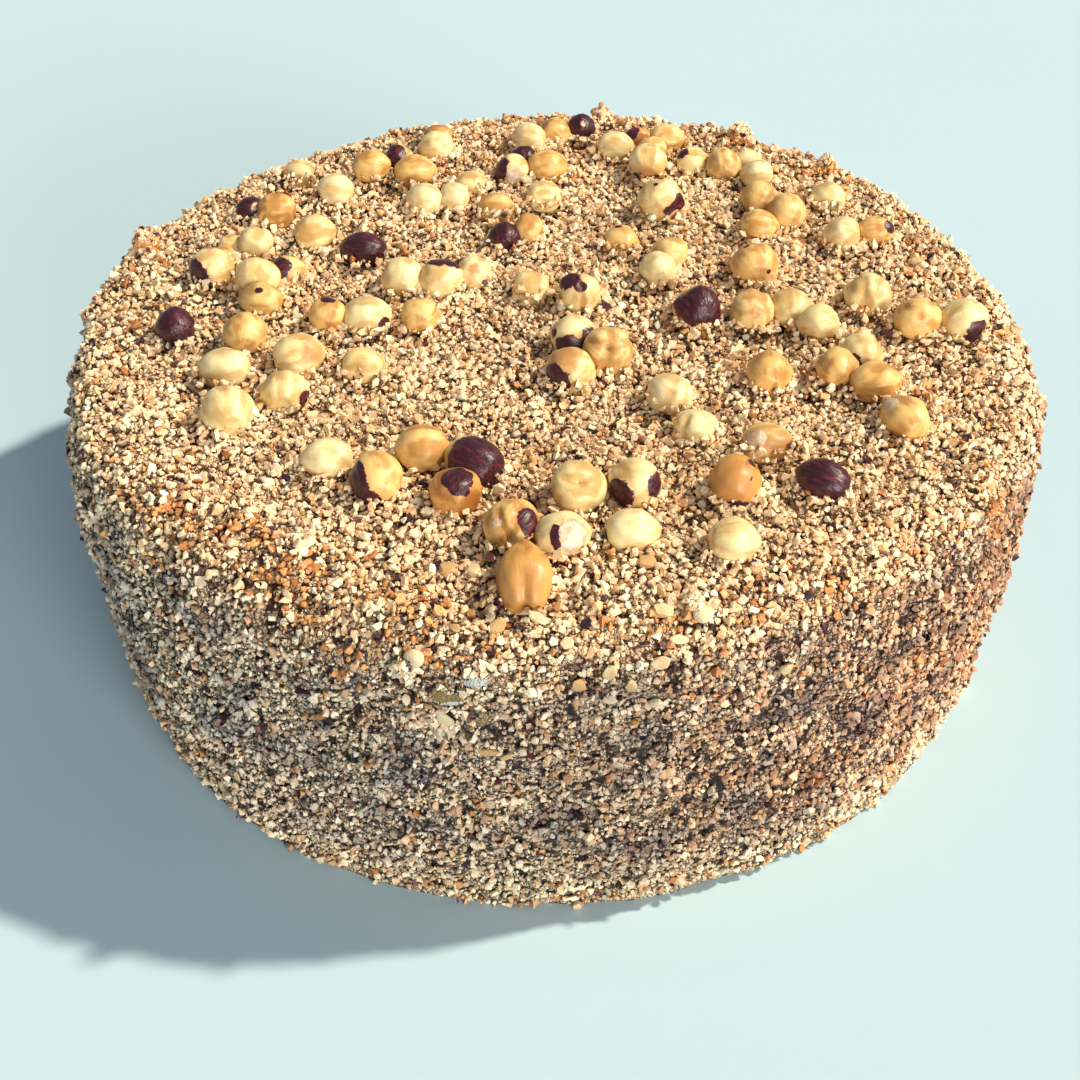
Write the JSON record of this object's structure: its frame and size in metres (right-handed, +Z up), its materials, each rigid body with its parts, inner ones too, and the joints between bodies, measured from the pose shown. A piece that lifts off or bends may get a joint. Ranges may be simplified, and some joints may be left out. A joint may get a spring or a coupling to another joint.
{
  "type": "hazelnut cake",
  "caption": "Round uncut cake coated all over in chopped hazelnut crumbs, with whole roasted hazelnuts scattered over its flat top.",
  "frame": {"origin": "centre of the cake's flat underside", "axes": "+Z up, +Y to the cake's back, -Y to the side that faced the camera"},
  "size_m": [0.2749, 0.2768, 0.1107],
  "materials": {
    "crumb_coat": "rough crumbs of toasted hazelnut, cream to brown with dark skin flecks",
    "hazelnut": "smooth blanched roasted hazelnut, cream to golden, with patches of dark skin"
  },
  "bodies": {
    "root": {"cake": "crumb_coat", "hazelnuts_01": "hazelnut", "hazelnuts_02": "hazelnut", "hazelnut_03": "hazelnut", "hazelnut_04": "hazelnut", "hazelnuts_05": "hazelnut", "hazelnut_06": "hazelnut", "hazelnuts_07": "hazelnut", "hazelnuts_08": "hazelnut", "hazelnut_09": "hazelnut", "hazelnuts_10": "hazelnut", "hazelnuts_11": "hazelnut", "hazelnut_12": "hazelnut", "hazelnut_13": "hazelnut", "hazelnuts_14": "hazelnut", "hazelnuts_15": "hazelnut", "hazelnuts_16": "hazelnut", "hazelnuts_17": "hazelnut", "hazelnuts_18": "hazelnut", "hazelnuts_19": "hazelnut", "hazelnut_20": "hazelnut", "hazelnut_21": "hazelnut", "hazelnuts_22": "hazelnut", "hazelnut_23": "hazelnut", "hazelnut_24": "hazelnut", "hazelnuts_25": "hazelnut", "hazelnut_26": "hazelnut", "hazelnut_27": "hazelnut", "hazelnut_28": "hazelnut", "hazelnuts_29": "hazelnut", "hazelnut_30": "hazelnut", "hazelnuts_31": "hazelnut", "hazelnuts_32": "hazelnut", "hazelnut_33": "hazelnut", "hazelnuts_34": "hazelnut", "hazelnut_35": "hazelnut", "hazelnut_36": "hazelnut", "hazelnut_37": "hazelnut", "hazelnut_38": "hazelnut", "hazelnut_39": "hazelnut", "hazelnut_40": "hazelnut", "hazelnut_41": "hazelnut", "hazelnut_42": "hazelnut", "hazelnuts_43": "hazelnut", "hazelnut_44": "hazelnut", "hazelnut_45": "hazelnut", "hazelnuts_46": "hazelnut", "hazelnut_47": "hazelnut", "hazelnut_48": "hazelnut", "hazelnuts_49": "hazelnut", "hazelnut_50": "hazelnut", "hazelnut_51": "hazelnut", "hazelnut_52": "hazelnut", "hazelnut_53": "hazelnut", "hazelnut_54": "hazelnut", "hazelnut_55": "hazelnut", "hazelnut_56": "hazelnut", "hazelnut_57": "hazelnut", "hazelnut_58": "hazelnut", "hazelnut_59": "hazelnut"}
  },
  "joints": []
}
